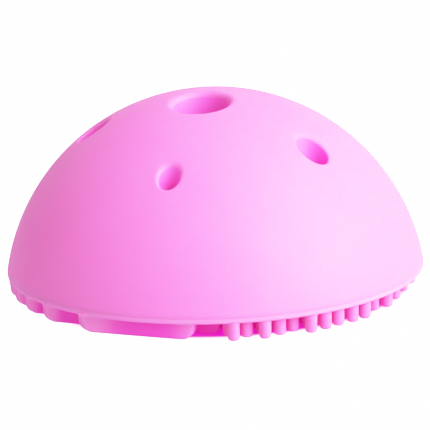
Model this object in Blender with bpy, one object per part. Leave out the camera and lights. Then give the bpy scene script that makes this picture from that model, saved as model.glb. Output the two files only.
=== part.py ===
"""Hand-held silicone scrub brush: a hollow grip dome on a pad of ridges and nubs.

The frame has its origin under the middle of the brush, on the plane that the
ridge and nub tips stand on. +Z is up, the ridges run along X, and the nubs fill
the +X side. Lengths are in metres.
"""
import math

import bmesh
import bpy

MM = 0.001

# Overall form: a spherical cap over a round pad.
RIM_RADIUS = 37.5 * MM
DOME_RISE = 31.4 * MM
RIM_HEIGHT = 3.9 * MM
PAD_UNDERSIDE = 3.1 * MM
PIECE_GAP = 0.3 * MM
TURN_SIDES = 72
SHARP_ANGLE = math.radians(35)

SPHERE_RADIUS = (RIM_RADIUS**2 + DOME_RISE**2) / (2 * DOME_RISE)
SPHERE_Z = RIM_HEIGHT + DOME_RISE - SPHERE_RADIUS

# Dome shell: thick soft wall, open at the bottom, where the pad's collar plugs in.
WALL = 6.0 * MM
SEAM_HEIGHT = 4.0 * MM
COLLAR_TOP = 8.0 * MM
COLLAR_RADIUS = 33.2 * MM
COLLAR_WALL = 2.4 * MM
DOME_ARC_STEPS = 12
CUTTER_TOP = 45.0 * MM
CUTTER_BOTTOM = 12.0 * MM

# Upright bores through the dome: plan position, radius and sides of the cutter.
BORES = {
    "crown": (0.4 * MM, -6.2 * MM, 5.0 * MM, 32),
    "front": (1.4 * MM, -25.3 * MM, 1.9 * MM, 20),
    "right": (21.2 * MM, -8.4 * MM, 2.75 * MM, 20),
    "left": (-19.4 * MM, -7.9 * MM, 2.75 * MM, 20),
    "back": (0.9 * MM, 12.0 * MM, 1.9 * MM, 20),
}

# Pad: a round plate with a thin flange that carries the dome's edge.
PAD_RADIUS = 37.4 * MM
PAD_PLATE_TOP = 5.6 * MM
PAD_EDGE_ROUND = 0.6 * MM
EDGE_STEPS = 4

# Ridges: straight bars along X with square ends. On the -X side their outer corners
# come out flush with the rim; on the +X side they stay inside it and stop at the nubs.
RIDGE_COUNT = 18
RIDGE_PITCH = 4.02 * MM
RIDGE_WIDTH = 2.4 * MM
RIDGE_ROUND = 0.4 * MM
RIDGE_FLUSH_CIRCLE = 37.0 * MM
RIDGE_INNER_CIRCLE = 36.4 * MM
RIDGE_END_X = 11.8 * MM
RIDGE_BEVEL_ANGLE = math.radians(50)

# Nubs: rows along X, staggered, inside a circle and short of a last X.
NUB_ROWS_EACH_SIDE = 13
NUB_PITCH = 3.2 * MM
NUB_ROW_STEP = 2.55 * MM
NUB_FIRST_X = 13.2 * MM
NUB_STAGGER = 1.75 * MM
NUB_CIRCLE = 36.43 * MM
NUB_LAST_X = 34.5 * MM
NUB_RADIUS = 1.05 * MM
NUB_TIP_ROUND = 0.35 * MM
NUB_SIDES = 8
SPINE_WIDTH = 1.0 * MM
SPINE_TOP = 2.7 * MM
SPINE_BOTTOM = 2.2 * MM

TEXTURE_TOP = PAD_UNDERSIDE - PIECE_GAP


def clear_scene():
    for old in list(bpy.data.objects):
        bpy.data.objects.remove(old, do_unlink=True)


def silicone(name, colour):
    material = bpy.data.materials.new(name)
    material.use_nodes = True
    shader = material.node_tree.nodes["Principled BSDF"]
    shader.inputs["Base Color"].default_value = (*colour, 1.0)
    shader.inputs["Roughness"].default_value = 0.45
    shader.inputs["Metallic"].default_value = 0.0
    return material


def add_object(name, mesh_builder, origin=(0.0, 0.0, 0.0), material=None):
    """Links a bmesh as an object whose mesh is stored relative to its origin."""
    bmesh.ops.translate(mesh_builder, verts=mesh_builder.verts, vec=[-c for c in origin])
    bmesh.ops.recalc_face_normals(mesh_builder, faces=mesh_builder.faces)
    mesh = bpy.data.meshes.new(name)
    mesh_builder.to_mesh(mesh)
    mesh_builder.free()
    mesh.shade_smooth()
    mesh.set_sharp_from_angle(angle=SHARP_ANGLE)
    obj = bpy.data.objects.new(name, mesh)
    obj.location = origin
    bpy.context.collection.objects.link(obj)
    if material:
        mesh.materials.append(material)
    return obj


def add_boolean(obj, operand, operation):
    modifier = obj.modifiers.new(operand.name, "BOOLEAN")
    modifier.operation = operation
    modifier.object = operand
    operand.display_type = "WIRE"
    operand.hide_render = True


def turn(builder, profile, sides, centre=(0.0, 0.0)):
    """Turns a closed (radius, height) outline about an upright line.

    A point with radius zero is a pole and gets a single vertex.
    """
    rings = []
    for radius, height in profile:
        if radius == 0.0:
            rings.append([builder.verts.new((*centre, height))])
            continue
        ring = []
        for side in range(sides):
            angle = 2 * math.pi * side / sides
            x = centre[0] + radius * math.cos(angle)
            y = centre[1] + radius * math.sin(angle)
            ring.append(builder.verts.new((x, y, height)))
        rings.append(ring)
    for upper, lower in zip(rings, rings[1:] + rings[:1]):
        if len(upper) == 1 and len(lower) == 1:
            continue
        for side in range(sides):
            after = (side + 1) % sides
            corners = [upper[side % len(upper)], lower[side % len(lower)]]
            if len(lower) > 1:
                corners.append(lower[after])
            if len(upper) > 1:
                corners.append(upper[after])
            builder.faces.new(corners)


def arc(radius, start, end, steps, centre=(0.0, 0.0)):
    """Points on an arc; angles are measured from straight up towards +radius."""
    points = []
    for step in range(steps + 1):
        angle = start + (end - start) * step / steps
        points.append((centre[0] + radius * math.sin(angle), centre[1] + radius * math.cos(angle)))
    return points


def cap_arc(radius, lowest):
    """Arc of the dome's sphere from its pole down to a height, the pole exactly on the axis."""
    end = math.acos((lowest - SPHERE_Z) / radius)
    points = arc(radius, 0.0, end, DOME_ARC_STEPS, centre=(0.0, SPHERE_Z))
    points[0] = (0.0, SPHERE_Z + radius)
    return points


def make_dome():
    edge = SEAM_HEIGHT + PIECE_GAP
    shoulder = COLLAR_TOP + PIECE_GAP
    mouth = COLLAR_RADIUS + PIECE_GAP
    outside = cap_arc(SPHERE_RADIUS, edge)
    inside = cap_arc(SPHERE_RADIUS - WALL, shoulder)
    profile = outside + [(mouth, edge), (mouth, shoulder)] + inside[::-1]
    builder = bmesh.new()
    turn(builder, profile, TURN_SIDES)
    dome = add_object("dome_shell", builder, material=silicone("dome_silicone", (0.93, 0.32, 0.78)))
    for name, (x, y, radius, sides) in BORES.items():
        cutter = bmesh.new()
        outline = [(0.0, CUTTER_TOP), (radius, CUTTER_TOP), (radius, CUTTER_BOTTOM), (0.0, CUTTER_BOTTOM)]
        turn(cutter, outline, sides, centre=(x, y))
        add_boolean(dome, add_object(f"{name}_bore_cutter", cutter), "DIFFERENCE")
    return dome


def make_pad():
    round_centre = (PAD_RADIUS - PAD_EDGE_ROUND, PAD_UNDERSIDE + PAD_EDGE_ROUND)
    edge = arc(PAD_EDGE_ROUND, math.pi / 2, math.pi, EDGE_STEPS, centre=round_centre)
    profile = [
        (0.0, PAD_PLATE_TOP),
        (COLLAR_RADIUS - COLLAR_WALL, PAD_PLATE_TOP),
        (COLLAR_RADIUS - COLLAR_WALL, COLLAR_TOP),
        (COLLAR_RADIUS, COLLAR_TOP),
        (COLLAR_RADIUS, SEAM_HEIGHT),
        (PAD_RADIUS, SEAM_HEIGHT),
        *edge,
        (0.0, PAD_UNDERSIDE),
    ]
    builder = bmesh.new()
    turn(builder, profile, TURN_SIDES)
    return add_object("brush_pad", builder, material=silicone("pad_silicone", (0.90, 0.25, 0.72)))


def ridge_outline(middle):
    """Plan outline of one ridge, its ends placed by the side that lies further out."""
    half = RIDGE_WIDTH / 2
    outer_side = abs(middle) + half
    left = -math.sqrt(RIDGE_FLUSH_CIRCLE**2 - outer_side**2)
    right = min(math.sqrt(RIDGE_INNER_CIRCLE**2 - outer_side**2), RIDGE_END_X)
    return [(left, middle - half), (right, middle - half), (right, middle + half), (left, middle + half)]


def make_ridge(index, material):
    middle = (index - (RIDGE_COUNT - 1) / 2) * RIDGE_PITCH
    builder = bmesh.new()
    bottom = builder.faces.new([builder.verts.new((x, y, 0.0)) for x, y in ridge_outline(middle)])
    raised = bmesh.ops.extrude_face_region(builder, geom=[bottom])["geom"]
    top_verts = [item for item in raised if isinstance(item, bmesh.types.BMVert)]
    bmesh.ops.translate(builder, verts=top_verts, vec=(0.0, 0.0, TEXTURE_TOP))
    root = (0.0, middle, TEXTURE_TOP)
    ridge = add_object(f"ridge_{index + 1:02d}", builder, root, material)
    bevel = ridge.modifiers.new("rounded_edges", "BEVEL")
    bevel.width = RIDGE_ROUND
    bevel.segments = 2
    bevel.angle_limit = RIDGE_BEVEL_ANGLE
    return ridge


def nub_places(row):
    """X positions of the nubs in one row; odd rows are staggered towards +X."""
    y = row * NUB_ROW_STEP
    reach = min(math.sqrt(NUB_CIRCLE**2 - y**2), NUB_LAST_X)
    x = NUB_FIRST_X + (NUB_STAGGER if row % 2 else 0.0)
    places = []
    while x <= reach:
        places.append(x)
        x += NUB_PITCH
    return places


def make_nub_row(row, material):
    y = row * NUB_ROW_STEP
    places = nub_places(row)
    root = (0.0, y, TEXTURE_TOP)
    name = f"nub_row_{row + NUB_ROWS_EACH_SIDE + 1:02d}"
    tip = NUB_RADIUS - NUB_TIP_ROUND
    profile = [(0.0, TEXTURE_TOP), (NUB_RADIUS, TEXTURE_TOP), (NUB_RADIUS, NUB_TIP_ROUND), (tip, 0.0), (0.0, 0.0)]
    nubs = bmesh.new()
    for x in places:
        turn(nubs, profile, NUB_SIDES, centre=(x, y))
    if len(places) == 1:
        return add_object(name, nubs, root, material)
    spine = bmesh.new()
    bmesh.ops.create_cube(spine, size=1.0)
    size = (places[-1] - places[0], SPINE_WIDTH, SPINE_TOP - SPINE_BOTTOM)
    middle = ((places[0] + places[-1]) / 2, y, (SPINE_TOP + SPINE_BOTTOM) / 2)
    bmesh.ops.scale(spine, verts=spine.verts, vec=size)
    bmesh.ops.translate(spine, verts=spine.verts, vec=middle)
    row_object = add_object(name, spine, root, material)
    add_boolean(row_object, add_object(f"{name}_nubs", nubs, root), "UNION")
    return row_object


def main():
    clear_scene()
    make_dome()
    make_pad()
    texture = silicone("texture_silicone", (0.86, 0.20, 0.68))
    for index in range(RIDGE_COUNT):
        make_ridge(index, texture)
    for row in range(-NUB_ROWS_EACH_SIDE, NUB_ROWS_EACH_SIDE + 1):
        make_nub_row(row, texture)


main()
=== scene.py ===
"""Looks of the silicone scrub brush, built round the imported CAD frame.

The grip dome, the pad, every ridge and every nub row get a fine surface of their
own: bores with rounded mouths, ridge ends that carry on the dome's outline, nubs
with round tips and soft satin silicone. Lengths are in metres, angles in degrees.
"""
import math

import bmesh
import bpy
from mathutils import Matrix, Vector
from mathutils.geometry import delaunay_2d_cdt


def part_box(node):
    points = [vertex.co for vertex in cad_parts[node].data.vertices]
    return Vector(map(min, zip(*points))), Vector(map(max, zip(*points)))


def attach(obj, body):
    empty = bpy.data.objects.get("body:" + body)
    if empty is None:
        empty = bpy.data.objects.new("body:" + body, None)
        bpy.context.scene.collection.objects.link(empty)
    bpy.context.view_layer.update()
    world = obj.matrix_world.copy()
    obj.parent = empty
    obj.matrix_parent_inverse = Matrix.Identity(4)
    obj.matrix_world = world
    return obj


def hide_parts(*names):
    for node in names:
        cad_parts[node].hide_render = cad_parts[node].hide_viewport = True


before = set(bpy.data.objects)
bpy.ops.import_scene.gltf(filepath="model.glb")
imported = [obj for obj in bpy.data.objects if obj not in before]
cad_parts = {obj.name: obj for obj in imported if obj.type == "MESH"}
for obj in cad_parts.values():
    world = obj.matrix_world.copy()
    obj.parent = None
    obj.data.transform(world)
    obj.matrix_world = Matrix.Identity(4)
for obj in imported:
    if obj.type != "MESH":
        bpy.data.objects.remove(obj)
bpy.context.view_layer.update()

MM = 0.001

# ---------------------------------------------------------------- sizes from the frame
DOME_LOW, DOME_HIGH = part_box("dome_shell")
PAD_LOW, PAD_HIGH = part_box("brush_pad")

EDGE_RADIUS = (DOME_HIGH.x - DOME_LOW.x) / 2
EDGE_RISE = DOME_HIGH.z - DOME_LOW.z
SPHERE_RADIUS = (EDGE_RADIUS**2 + EDGE_RISE**2) / (2 * EDGE_RISE)
SPHERE_Z = DOME_HIGH.z - SPHERE_RADIUS
UNDERSIDE = PAD_LOW.z
COLLAR_TOP = PAD_HIGH.z

# ---------------------------------------------------------------- sizes shared with the CAD
WALL = 6.0 * MM
SEAM = 4.0 * MM  # height of the joint line between pad and dome
SEAM_GAP = 0.01 * MM
COLLAR_RADIUS = 33.2 * MM
COLLAR_WALL = 2.4 * MM
COLLAR_GAP = 0.3 * MM
PLATE_TOP = 5.6 * MM

# Upright bores: x, y, radius, and radius of the rounding of the mouth.
BORES = {
    "crown": (0.4 * MM, -6.2 * MM, 5.0 * MM, 1.1 * MM),
    "front": (1.4 * MM, -25.3 * MM, 1.9 * MM, 0.7 * MM),
    "right": (21.2 * MM, -8.4 * MM, 2.75 * MM, 0.7 * MM),
    "left": (-19.4 * MM, -7.9 * MM, 2.75 * MM, 0.7 * MM),
    "back": (0.9 * MM, 12.0 * MM, 1.9 * MM, 0.7 * MM),
}

# Corners flatter than this are shaded smooth.
ROUND_SMOOTH = 40
RIDGE_SMOOTH = 50
NUB_SMOOTH = 60


# ---------------------------------------------------------------- mesh helpers
def new_object(name, builder, material, smooth_angle=ROUND_SMOOTH):
    bmesh.ops.recalc_face_normals(builder, faces=builder.faces)
    mesh = bpy.data.meshes.new(name)
    builder.to_mesh(mesh)
    builder.free()
    mesh.shade_smooth()
    mesh.set_sharp_from_angle(angle=math.radians(smooth_angle))
    mesh.materials.append(material)
    obj = bpy.data.objects.new(name, mesh)
    bpy.context.collection.objects.link(obj)
    return obj


def bridge(builder, upper, lower):
    """Quads between two closed rings of equal length."""
    count = len(upper)
    for index in range(count):
        after = (index + 1) % count
        builder.faces.new((upper[index], lower[index], lower[after], upper[after]))


def bridge_all(builder, rings):
    for upper, lower in zip(rings, rings[1:]):
        bridge(builder, upper, lower)


def circle(radius, count, centre=(0.0, 0.0)):
    points = []
    for index in range(count):
        angle = 2 * math.pi * index / count
        points.append((centre[0] + radius * math.cos(angle), centre[1] + radius * math.sin(angle)))
    return points


def ring_at(builder, radius, height, count, centre=(0.0, 0.0)):
    return [builder.verts.new((x, y, height)) for x, y in circle(radius, count, centre)]


def round_corner(centre, radius, start, end, steps):
    """(radius, height) points on an arc, its angles counted from straight up towards +radius."""
    points = []
    for step in range(steps + 1):
        angle = math.radians(start + (end - start) * step / steps)
        points.append((centre[0] + radius * math.sin(angle), centre[1] + radius * math.cos(angle)))
    return points


def quarter_round(distance, radius):
    """How far a rounded edge has drawn back at a distance from where it ends."""
    if distance >= radius:
        return 0.0
    return radius - math.sqrt(radius**2 - (radius - distance) ** 2)


# ---------------------------------------------------------------- grip dome
# The caps round the bores are triangulated out to these radii; plain bands go on below.
CAP_RADIUS = 31.0 * MM
INNER_CAP_RADIUS = 29.4 * MM
CAP_STEP = 1.1 * MM
ROUND_SEGMENTS = 192
BAND_STEPS = 18
INNER_BAND_STEPS = 12

BORE_SPACING = 0.5 * MM
BORE_LEVELS = 5
INNER_MOUTH = 0.4 * MM
MOUTH_STEPS = 7
EASING_RINGS = (0.35 * CAP_STEP, 0.9 * CAP_STEP)  # rings round a mouth, before the cap's own
CLEAR_OF_MOUTH = 1.5 * CAP_STEP
MERGE_DISTANCE = 1e-6  # in millimetres, as are the places that are triangulated

EDGE_ROUND = 0.03 * MM
EDGE_STEPS = 3


def sphere_height(x, y, radius):
    return SPHERE_Z + math.sqrt(radius**2 - x**2 - y**2)


def cap_with_bores(builder, radius, reach, outward, mouths):
    """Triangulated cap of a sphere, open at each bore, whose rim rounds into the bore.

    outward is 1 for an outer face and -1 for an inner one. Returns the cap's outer
    ring and the ring of each bore's wall.
    """
    places, heights = [], []
    walls = {}

    def add(x, y, drop):
        places.append(Vector((x / MM, y / MM)))
        heights.append(sphere_height(x, y, radius) - outward * drop)

    for name, (x0, y0, bore, _) in BORES.items():
        mouth = mouths[name]
        count = round(2 * math.pi * bore / BORE_SPACING / 4) * 4
        walls[name] = range(len(places), len(places) + count)
        for step in range(MOUTH_STEPS + 1):
            angle = math.pi / 2 * step / MOUTH_STEPS
            offset = mouth * (1 - math.cos(angle))
            drop = mouth * (1 - math.sin(angle))
            for x, y in circle(bore + offset, count, (x0, y0)):
                add(x, y, drop)
        for spread in EASING_RINGS:
            for x, y in circle(bore + mouth + spread, count, (x0, y0)):
                add(x, y, 0.0)

    rings = round(reach / CAP_STEP)
    for ring in range(rings):
        ring_radius = reach * ring / rings
        count = max(1, round(2 * math.pi * ring_radius / CAP_STEP))
        for x, y in circle(ring_radius, count):
            clear = all(
                math.hypot(x - x0, y - y0) > bore + mouths[name] + CLEAR_OF_MOUTH
                for name, (x0, y0, bore, _) in BORES.items()
            )
            if clear:
                add(x, y, 0.0)
    outer = range(len(places), len(places) + ROUND_SEGMENTS)
    for x, y in circle(reach, ROUND_SEGMENTS):
        add(x, y, 0.0)

    triangles = delaunay_2d_cdt(places, [], [], 0, MERGE_DISTANCE)[2]
    verts = [builder.verts.new((p.x * MM, p.y * MM, z)) for p, z in zip(places, heights)]
    wall_sets = [set(indices) for indices in walls.values()]
    for triangle in triangles:
        if not any(set(triangle) <= wall for wall in wall_sets):
            builder.faces.new([verts[index] for index in triangle])
    wall_rings = {name: [verts[i] for i in indices] for name, indices in walls.items()}
    return [verts[i] for i in outer], wall_rings


def line_bores(builder, outer_walls, inner_walls):
    """Walls between the outer and inner ring of each bore, in the second material: a deeper pink that is
    painted shade.
    """
    first = len(builder.faces)
    for name, upper in outer_walls.items():
        lower = inner_walls[name]
        rings = [upper]
        for level in range(1, BORE_LEVELS):
            share = level / BORE_LEVELS
            rings.append([builder.verts.new(a.co.lerp(b.co, share)) for a, b in zip(upper, lower)])
        rings.append(lower)
        bridge_all(builder, rings)
    builder.faces.ensure_lookup_table()
    for face in builder.faces[first:]:
        face.material_index = 1


def sphere_band(radius, start_radius, end_height, steps):
    """(radius, height) points down the sphere between a ring radius and a height, ends left out."""
    start = math.asin(start_radius / radius)
    end = math.acos((end_height - SPHERE_Z) / radius)
    points = []
    for step in range(1, steps):
        angle = start + (end - start) * step / steps
        points.append((radius * math.sin(angle), SPHERE_Z + radius * math.cos(angle)))
    return points


def dome_edge_profile(inner_radius):
    """(radius, height) points from the outer cap down, round the dome's edge and up to the inner cap."""
    edge = SEAM + SEAM_GAP
    shoulder = COLLAR_TOP + COLLAR_GAP
    mouth = COLLAR_RADIUS + COLLAR_GAP
    rim = math.sqrt(SPHERE_RADIUS**2 - (edge - SPHERE_Z) ** 2)
    profile = sphere_band(SPHERE_RADIUS, CAP_RADIUS, edge + EDGE_ROUND, BAND_STEPS)
    profile += round_corner((rim - EDGE_ROUND, edge + EDGE_ROUND), EDGE_ROUND, 90, 180, EDGE_STEPS)
    profile += round_corner((mouth + EDGE_ROUND, edge + EDGE_ROUND), EDGE_ROUND, 180, 270, EDGE_STEPS)
    profile.append((mouth, shoulder))
    profile += reversed(sphere_band(inner_radius, INNER_CAP_RADIUS, shoulder, INNER_BAND_STEPS))
    return profile


def make_dome(material, painted_shade_bore_material):
    """The hollow dome; the walls of its bores take the deeper of the two pinks, which is painted shade.
    """
    builder = bmesh.new()
    inner_radius = SPHERE_RADIUS - WALL
    outer_mouths = {name: mouth for name, (_, _, _, mouth) in BORES.items()}
    inner_mouths = {name: INNER_MOUTH for name in BORES}
    outer_ring, outer_walls = cap_with_bores(builder, SPHERE_RADIUS, CAP_RADIUS, 1, outer_mouths)
    inner_ring, inner_walls = cap_with_bores(builder, inner_radius, INNER_CAP_RADIUS, -1, inner_mouths)
    line_bores(builder, outer_walls, inner_walls)

    rings = [outer_ring]
    rings += [ring_at(builder, r, z, ROUND_SEGMENTS) for r, z in dome_edge_profile(inner_radius)]
    rings.append(inner_ring)
    bridge_all(builder, rings)
    dome = new_object("grip_dome", builder, material)
    dome.data.materials.append(painted_shade_bore_material)
    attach(dome, "dome")
    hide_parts("dome_shell")


# ---------------------------------------------------------------- pad
RIM_ROUND = 0.06 * MM
LIP_ROUND = 0.4 * MM
LIP_STEPS = 8
COLLAR_ROUND = 0.5 * MM
PAD_CORNER_STEPS = 4


def pad_profile():
    """(radius, height) points from the plate's top over the collar and the rim to the underside."""
    rim = math.sqrt(SPHERE_RADIUS**2 - (SEAM - SPHERE_Z) ** 2)
    inner = COLLAR_RADIUS - COLLAR_WALL
    crest = COLLAR_TOP - COLLAR_ROUND
    profile = [(inner, PLATE_TOP)]
    profile += round_corner((inner + COLLAR_ROUND, crest), COLLAR_ROUND, -90, 0, PAD_CORNER_STEPS)
    profile += round_corner((COLLAR_RADIUS - COLLAR_ROUND, crest), COLLAR_ROUND, 0, 90, PAD_CORNER_STEPS)
    profile.append((COLLAR_RADIUS, SEAM))
    profile += round_corner((rim - RIM_ROUND, SEAM - RIM_ROUND), RIM_ROUND, 0, 90, PAD_CORNER_STEPS)
    profile += round_corner((rim - LIP_ROUND, UNDERSIDE + LIP_ROUND), LIP_ROUND, 90, 180, LIP_STEPS)
    return profile


def make_pad(material):
    builder = bmesh.new()
    rings = [ring_at(builder, radius, height, ROUND_SEGMENTS) for radius, height in pad_profile()]
    bridge_all(builder, rings)
    builder.faces.new(rings[0])
    builder.faces.new(rings[-1])
    pad = new_object("scrub_pad", builder, material)
    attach(pad, "pad")
    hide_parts("brush_pad")


# ---------------------------------------------------------------- ridges
RIDGE_ROOT = SEAM - 0.5 * MM  # the bars start inside the pad
RIDGE_DRAFT = 0.1 * MM
RIDGE_TIP_ROUND = 0.3 * MM
ROOT_FILLET = 0.8 * MM
END_ROUND = 1.3 * MM

# The -X end is flush with the rim, slants with it a little and leans in towards the tip.
FLUSH_INSET = 0.05 * MM
FLUSH_TAPER = 0.15 * MM
FLUSH_CORNER = 1.15 * MM
END_SLANT = 0.5 * MM

# The +X end is square, at the border of the nub field or inside a circle within the rim.
RIDGE_END_X = 11.8 * MM
INNER_CIRCLE = 36.45 * MM
INNER_TAPER = 0.2 * MM
RIDGE_CORNER = 0.6 * MM
LEAST_CORNER = 0.02 * MM

RIDGE_SIDE_LEVELS = 16
TIP_STEPS = 5
CORNER_STEPS = 4


def bar_outline(lefts, right, near, far, corner, flush_corner):
    """Plan outline of a bar, counterclockwise from its near right corner.

    The near and the far corner of the left end have an x each, so that it can slant.
    """
    outline = []
    corners = [(right, near, 1, -1), (right, far, 1, 1), (lefts[1], far, -1, 1), (lefts[0], near, -1, -1)]
    for quarter, (x, y, side, end) in enumerate(corners):
        radius = corner if side > 0 else flush_corner
        centre = (x - side * radius, y - end * radius)
        for step in range(CORNER_STEPS + 1):
            angle = math.radians(90 * (quarter - 1) + 90 * step / CORNER_STEPS)
            outline.append((centre[0] + radius * math.cos(angle), centre[1] + radius * math.sin(angle)))
    return outline


def ridge_levels():
    """(height, share of the way down, inset of the rounded tip) from the root to the tip."""
    levels = []
    for step in range(RIDGE_SIDE_LEVELS + 1):
        share = step / RIDGE_SIDE_LEVELS
        levels.append((RIDGE_ROOT + (RIDGE_TIP_ROUND - RIDGE_ROOT) * share, share, 0.0))
    for step in range(1, TIP_STEPS + 1):
        angle = math.pi / 2 * step / TIP_STEPS
        inset = RIDGE_TIP_ROUND * (1 - math.cos(angle))
        levels.append((RIDGE_TIP_ROUND * (1 - math.sin(angle)), 1.0, inset))
    return levels


def make_ridge(node, material):
    """A bar across the pad, flush with the rim on the -X side and square on the +X side."""
    low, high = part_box(node)
    middle, half = (low.y + high.y) / 2, (high.y - low.y) / 2
    sides = (abs(low.y), abs(high.y))
    outer_side = max(sides)
    builder = bmesh.new()
    rings = []
    for height, share, inset in ridge_levels():
        end_inset = max(inset, quarter_round(height, END_ROUND))
        flush = EDGE_RADIUS - FLUSH_INSET - FLUSH_TAPER * share**2
        square = math.sqrt(flush**2 - outer_side**2)
        reaches = [min(math.sqrt(flush**2 - side**2), square + END_SLANT) for side in sides]
        lefts = [end_inset - reach for reach in reaches]
        inner = INNER_CIRCLE - INNER_TAPER * share**2
        border = RIDGE_END_X - RIDGE_DRAFT * share
        right = min(math.sqrt(inner**2 - outer_side**2), border) - end_inset
        flare = quarter_round(max(UNDERSIDE - height, 0.0), ROOT_FILLET)
        width = half - RIDGE_DRAFT * share - inset + flare
        corner = max(RIDGE_CORNER - inset, LEAST_CORNER)
        outline = bar_outline(lefts, right, middle - width, middle + width, corner, FLUSH_CORNER - inset)
        rings.append([builder.verts.new((x, y, height)) for x, y in outline])
    bridge_all(builder, rings)
    builder.faces.new(rings[0])
    builder.faces.new(rings[-1])
    ridge = new_object(f"{node}_bar", builder, material, RIDGE_SMOOTH)
    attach(ridge, "pad")
    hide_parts(node)


# ---------------------------------------------------------------- nubs
NUB_PITCH = 3.2 * MM
NUB_RADIUS = 1.05 * MM
NUB_SEGMENTS = 20

NUB_ROOT = UNDERSIDE + 0.2 * MM  # the nubs start inside the pad
ROOT_FLARE = 0.15 * MM
FLARE_MIDDLE = 0.04 * MM
FLARE_MIDDLE_DROP = 0.15 * MM
FLARE_DROP = 0.45 * MM

NUB_DRAFT = 0.05 * MM
NUB_TIP_ROUND = 0.45 * MM
NUB_TIP_TURN = (90, 165)  # the tip's arc stops short of flat, which leaves it slightly domed
NUB_TIP_STEPS = 5


def nub_profile():
    """(radius, height) points from the flared root in the pad to the edge of the tip's middle."""
    points = [(NUB_RADIUS + ROOT_FLARE, NUB_ROOT)]
    points.append((NUB_RADIUS + FLARE_MIDDLE, UNDERSIDE - FLARE_MIDDLE_DROP))
    points.append((NUB_RADIUS, UNDERSIDE - FLARE_DROP))
    tip_centre = (NUB_RADIUS - NUB_DRAFT - NUB_TIP_ROUND, NUB_TIP_ROUND)
    points += round_corner(tip_centre, NUB_TIP_ROUND, *NUB_TIP_TURN, NUB_TIP_STEPS)
    return points


def make_nub_row(node, material):
    low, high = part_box(node)
    y = (low.y + high.y) / 2
    count = round((high.x - low.x - 2 * NUB_RADIUS) / NUB_PITCH) + 1
    builder = bmesh.new()
    for index in range(count):
        centre = (low.x + NUB_RADIUS + index * NUB_PITCH, y)
        rings = [ring_at(builder, r, z, NUB_SEGMENTS, centre) for r, z in nub_profile()]
        bridge_all(builder, rings)
        builder.faces.new(rings[0])
        tip = builder.verts.new((*centre, 0.0))
        last = rings[-1]
        for side in range(NUB_SEGMENTS):
            builder.faces.new((last[side], tip, last[(side + 1) % NUB_SEGMENTS]))
    row = new_object(f"{node}_nubs", builder, material, NUB_SMOOTH)
    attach(row, node)
    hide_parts(node)


# ---------------------------------------------------------------- materials
# Pinks of the silicone: each mottles between a light and a deep tone.
PIGMENT_LIGHT = (0.98, 0.20, 0.64)
PIGMENT_DEEP = (0.96, 0.17, 0.59)
# Painted shade: the bore walls take a deeper, bluer pink for the shade inside the bores.
BORE_PAINTED_SHADE_LIGHT = (0.99, 0.165, 0.73)
BORE_PAINTED_SHADE_DEEP = (0.97, 0.145, 0.69)
# Painted highlight: the pad's pink is paler, for the light band along its rim.
RIM_PAINTED_HIGHLIGHT_LIGHT = (0.98, 0.24, 0.68)
RIM_PAINTED_HIGHLIGHT_DEEP = (0.96, 0.21, 0.64)
# Painted shade: the ridges' deeper pink darkens the shaded pockets between the bars.
RIDGE_PAINTED_SHADE_LIGHT = (0.95, 0.075, 0.63)
RIDGE_PAINTED_SHADE_DEEP = (0.92, 0.06, 0.58)

# Distances from the brush's axis between which the ridges lighten to the rim's pink: painted light on
# their lit ends.
PAINTED_END_LIGHT_INNER = 35.3 * MM
PAINTED_END_LIGHT_OUTER = 36.5 * MM

CLOUD_SCALE = 60.0
CLOUD_DETAIL = 3.0
SKIN_SCALE = 2600.0
SKIN_DETAIL = 4.0
SKIN_DEPTH = 0.04 * MM
SKIN_STRENGTH = 0.12

SATIN = (0.55, 0.65)
SILICONE_IOR = 1.41
SPECULAR_LEVEL = 0.5
SHEEN_WEIGHT = 0.05
SHEEN_ROUGHNESS = 0.5
SCATTER_WEIGHT = 0.35
SCATTER_COLOUR = (1.0, 0.3, 0.7)
DOME_SCATTER = 2.2 * MM
PAD_SCATTER = 2.0 * MM
TEXTURE_SCATTER = 1.5 * MM


def new_material(name):
    """A node material, with its node tree and its Principled shader."""
    material = bpy.data.materials.new(name)
    material.use_nodes = True
    tree = material.node_tree
    return material, tree, tree.nodes["Principled BSDF"]


def noise(tree, place, scale, detail):
    """The value of a noise texture in the object's own coordinates."""
    texture = tree.nodes.new("ShaderNodeTexNoise")
    texture.inputs["Scale"].default_value = scale
    texture.inputs["Detail"].default_value = detail
    tree.links.new(place.outputs["Object"], texture.inputs["Vector"])
    return texture.outputs["Fac"]


def mix_colours(tree, factor, first, second):
    """The mix of two colours by a factor; a colour is a tuple or the output of a node."""
    mix = tree.nodes.new("ShaderNodeMix")
    mix.data_type = "RGBA"
    tree.links.new(factor, mix.inputs["Factor"])
    for name, colour in (("A", first), ("B", second)):
        if isinstance(colour, tuple):
            mix.inputs[name].default_value = (*colour, 1.0)
        else:
            tree.links.new(colour, mix.inputs[name])
    return mix.outputs["Result"]


def axis_fade(tree, place, inner, outer):
    """0 to 1 between two distances from the brush's upright axis."""
    flat = tree.nodes.new("ShaderNodeVectorMath")
    flat.operation = "MULTIPLY"
    flat.inputs[1].default_value = (1.0, 1.0, 0.0)
    tree.links.new(place.outputs["Object"], flat.inputs[0])
    distance = tree.nodes.new("ShaderNodeVectorMath")
    distance.operation = "LENGTH"
    tree.links.new(flat.outputs["Vector"], distance.inputs[0])
    fade = tree.nodes.new("ShaderNodeMapRange")
    fade.interpolation_type = "SMOOTHSTEP"
    fade.inputs["From Min"].default_value = inner
    fade.inputs["From Max"].default_value = outer
    tree.links.new(distance.outputs["Value"], fade.inputs["Value"])
    return fade.outputs["Result"]


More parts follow.
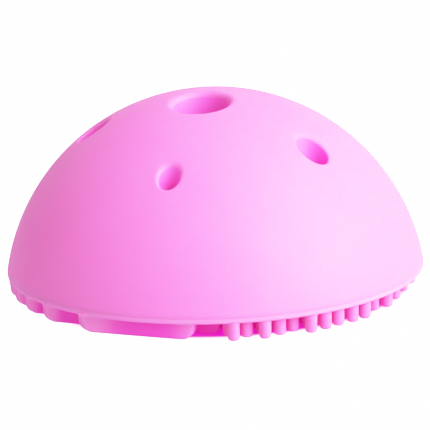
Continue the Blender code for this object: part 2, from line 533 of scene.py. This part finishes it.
def silicone(name, light, deep, scatter_depth, edge=None):
    """Satin translucent silicone: cloudy pigment, soft scatter, a very fine skin.

    With an edge colour, the pink lightens to it where a bar reaches the pad's rim: painted light on the
    bar's lit end.
    """
    material, tree, shader = new_material(name)
    place = tree.nodes.new("ShaderNodeTexCoord")

    cloud = noise(tree, place, CLOUD_SCALE, CLOUD_DETAIL)
    tint = mix_colours(tree, cloud, light, deep)
    # Painted light: towards the rim the bar's pink pales, where its end is lit.
    if edge:
        fade = axis_fade(tree, place, PAINTED_END_LIGHT_INNER, PAINTED_END_LIGHT_OUTER)
        tint = mix_colours(tree, fade, tint, edge)
    tree.links.new(tint, shader.inputs["Base Color"])

    bump = tree.nodes.new("ShaderNodeBump")
    bump.inputs["Strength"].default_value = SKIN_STRENGTH
    bump.inputs["Distance"].default_value = SKIN_DEPTH
    tree.links.new(noise(tree, place, SKIN_SCALE, SKIN_DETAIL), bump.inputs["Height"])
    tree.links.new(bump.outputs["Normal"], shader.inputs["Normal"])

    gloss = tree.nodes.new("ShaderNodeMapRange")
    gloss.inputs["To Min"].default_value = SATIN[0]
    gloss.inputs["To Max"].default_value = SATIN[1]
    tree.links.new(cloud, gloss.inputs["Value"])
    tree.links.new(gloss.outputs["Result"], shader.inputs["Roughness"])

    shader.inputs["IOR"].default_value = SILICONE_IOR
    shader.inputs["Specular IOR Level"].default_value = SPECULAR_LEVEL
    shader.inputs["Sheen Weight"].default_value = SHEEN_WEIGHT
    shader.inputs["Sheen Roughness"].default_value = SHEEN_ROUGHNESS
    shader.inputs["Subsurface Weight"].default_value = SCATTER_WEIGHT
    shader.inputs["Subsurface Radius"].default_value = SCATTER_COLOUR
    shader.inputs["Subsurface Scale"].default_value = scatter_depth
    return material


# ---------------------------------------------------------------- stage
STAGE_REACH = 3.0
WALL_SEGMENTS = 64
STAGE_ROUGHNESS = 0.9
WHITE = (1.0, 1.0, 1.0)

# The floor and wall that are seen.
FLOOR_COLOUR = (0.05, 0.05, 0.05)
FLOOR_GLOW = 2.2
# Painted shade: under the pad the seen floor glows a dim silicone pink.
FLOOR_PAINTED_SHADE = (0.4, 0.003, 0.24)

# The dimmer floor that lights the brush from below.
BOUNCE_COLOUR = (0.15, 0.15, 0.15)
BOUNCE_GLOW = 0.7
# Painted pink bounce light: under the pad the hidden floor glows silicone pink.
BOUNCE_PAINTED_PINK_GLOW = (1.0, 0.0, 0.75)
BOUNCE_DROP = 0.1 * MM

# Distances from the brush's axis between which the painted tint under the pad ends: painted shade on the
# seen floor, painted pink bounce glow on the hidden one.
PAINTED_TINT_INNER = 33.4 * MM
PAINTED_TINT_OUTER = 36.2 * MM


def glowing(name, colour, strength):
    """A matt material that glows white, with its node tree and its shader."""
    material, tree, shader = new_material(name)
    shader.inputs["Base Color"].default_value = (*colour, 1.0)
    shader.inputs["Roughness"].default_value = STAGE_ROUGHNESS
    shader.inputs["Emission Color"].default_value = (*WHITE, 1.0)
    shader.inputs["Emission Strength"].default_value = strength
    return material, tree, shader


def make_floor(name, height, colour, strength, painted_tint):
    """A pale glowing floor; under the pad it has painted shade, a dim glow in a silicone pink."""
    builder = bmesh.new()
    bmesh.ops.create_grid(builder, x_segments=1, y_segments=1, size=STAGE_REACH)
    bmesh.ops.translate(builder, verts=builder.verts, vec=(0.0, 0.0, height))
    material, tree, shader = glowing(name, colour, strength)
    place = tree.nodes.new("ShaderNodeTexCoord")
    fade = axis_fade(tree, place, PAINTED_TINT_INNER, PAINTED_TINT_OUTER)
    # Painted shade: under the pad the glow turns to the dim pink tint.
    tree.links.new(mix_colours(tree, fade, painted_tint, WHITE), shader.inputs["Emission Color"])
    floor = new_object(name, builder, material)
    return floor


def make_wall():
    """A white wall right round, for low views past the edge of the floor."""
    builder = bmesh.new()
    rings = [ring_at(builder, STAGE_REACH, height, WALL_SEGMENTS) for height in (STAGE_REACH, 0.0)]
    bridge_all(builder, rings)
    wall = new_object("pale_wall", builder, glowing("pale_wall", FLOOR_COLOUR, FLOOR_GLOW)[0])
    return wall


def make_stage():
    """The stage that is seen casts no light on the brush; a dimmer floor just under it does."""
    for seen in (make_floor("pale_floor", 0.0, FLOOR_COLOUR, FLOOR_GLOW, FLOOR_PAINTED_SHADE), make_wall()):
        seen.visible_diffuse = False
        seen.visible_glossy = False
        seen.visible_shadow = False
    bounce = make_floor("bounce_floor", -BOUNCE_DROP, BOUNCE_COLOUR, BOUNCE_GLOW, BOUNCE_PAINTED_PINK_GLOW)
    bounce.visible_camera = False


# ---------------------------------------------------------------- light and tone
WORLD_STRENGTH = 0.70
KEY_SIDE = 60  # how far the key light stands to the right of the camera
KEY_ELEVATION = 30
KEY_DISTANCE = 0.8
KEY_SIZE = 0.8
KEY_POWER = 19.4
KEY_COLOUR = (1.0, 0.97, 0.89)

SHOULDER_START = 0.6
SHOULDER_SOFTNESS = 0.4
TONE_WHITE = 3.0
TONE_POINTS = 15
ALL_CHANNELS = 3  # the index of the curve that acts on red, green and blue together


def direction(azimuth, elevation):
    """The unit vector from the brush towards a place; azimuth 0 is -Y, and 90 is +X."""
    a, e = math.radians(azimuth), math.radians(elevation)
    return Vector((math.sin(a) * math.cos(e), -math.cos(a) * math.cos(e), math.sin(e)))


def make_key():
    """A big soft light that faces the brush from the right."""
    data = bpy.data.lights.new("key", "AREA")
    data.shape = "DISK"
    data.size = KEY_SIZE
    data.energy = KEY_POWER
    data.color = KEY_COLOUR
    key = bpy.data.objects.new("key", data)
    bpy.context.collection.objects.link(key)
    back = direction(CAMERA_AZIMUTH + KEY_SIDE, KEY_ELEVATION)
    key.location = back * KEY_DISTANCE
    key.rotation_euler = (-back).to_track_quat("-Z", "Y").to_euler()


def make_world():
    world = bpy.data.worlds.new("studio")
    bpy.context.scene.world = world
    world.use_nodes = True
    background = world.node_tree.nodes["Background"]
    background.inputs["Color"].default_value = (*WHITE, 1.0)
    background.inputs["Strength"].default_value = WORLD_STRENGTH


def shoulder(value):
    """Tone of a bright value: straight up to the shoulder, then easing towards white."""
    if value <= SHOULDER_START:
        return value
    return 1 - (1 - SHOULDER_START) * math.exp((SHOULDER_START - value) / SHOULDER_SOFTNESS)


def set_tone():
    """A soft photographic shoulder, so that bright pink pales evenly and keeps its hue."""
    view = bpy.context.scene.view_settings
    view.view_transform = "Standard"
    view.use_curve_mapping = True
    mapping = view.curve_mapping
    mapping.white_level = (TONE_WHITE,) * 3
    curve = mapping.curves[ALL_CHANNELS]
    for step in range(1, TONE_POINTS):
        share = step / TONE_POINTS
        curve.points.new(share, shoulder(share * TONE_WHITE))
    mapping.update()


# ---------------------------------------------------------------- camera
CAMERA_AZIMUTH = 20.0
CAMERA_ELEVATION = 15.2
CAMERA_ROLL = 1.6
CAMERA_DISTANCE = 412.5 * MM  # from the point on the axis at BASE_HEIGHT
CAMERA_LENS = 191.0
CAMERA_CLIP = 0.01
BASE_HEIGHT = 3.9 * MM
AIM_HEIGHT = 12.4 * MM
AIM_SIDE = 0.17 * MM


def make_camera():
    data = bpy.data.cameras.new("camera")
    data.lens = CAMERA_LENS
    data.clip_start = CAMERA_CLIP
    camera = bpy.data.objects.new("camera", data)
    bpy.context.collection.objects.link(camera)
    base = Vector((0.0, 0.0, BASE_HEIGHT))
    camera.location = base + direction(CAMERA_AZIMUTH, CAMERA_ELEVATION) * CAMERA_DISTANCE
    across = direction(CAMERA_AZIMUTH + 90, 0)
    look = Vector((0.0, 0.0, AIM_HEIGHT)) + across * AIM_SIDE - camera.location
    roll = Matrix.Rotation(math.radians(-CAMERA_ROLL), 3, "Z")
    camera.rotation_euler = (look.to_track_quat("-Z", "Y").to_matrix() @ roll).to_euler()
    bpy.context.scene.camera = camera


# ---------------------------------------------------------------- the whole scene
def main():
    dome_pink = silicone("dome_pink", PIGMENT_LIGHT, PIGMENT_DEEP, DOME_SCATTER)
    # The bore walls' deeper pink is painted shade.
    bore_painted_shade_pink = silicone("bore_painted_shade_pink", BORE_PAINTED_SHADE_LIGHT, BORE_PAINTED_SHADE_DEEP, DOME_SCATTER)
    # The pad's paler pink is a painted highlight along the rim.
    pad_painted_highlight_pink = silicone("pad_painted_highlight_pink", RIM_PAINTED_HIGHLIGHT_LIGHT, RIM_PAINTED_HIGHLIGHT_DEEP, PAD_SCATTER)
    # The ridges' deeper pink is painted shade, and it pales to painted light at their rim ends.
    ridge_pink_painted_shade_and_light = silicone("ridge_pink_painted_shade_and_light", RIDGE_PAINTED_SHADE_LIGHT, RIDGE_PAINTED_SHADE_DEEP, TEXTURE_SCATTER, edge=RIM_PAINTED_HIGHLIGHT_LIGHT)
    nub_pink = silicone("nub_pink", PIGMENT_LIGHT, PIGMENT_DEEP, TEXTURE_SCATTER)
    make_dome(dome_pink, bore_painted_shade_pink)
    make_pad(pad_painted_highlight_pink)
    for node in sorted(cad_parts):
        if node.startswith("ridge_"):
            make_ridge(node, ridge_pink_painted_shade_and_light)
        elif node.startswith("nub_row_"):
            make_nub_row(node, nub_pink)
    make_stage()
    make_world()
    make_key()
    make_camera()
    set_tone()


main()
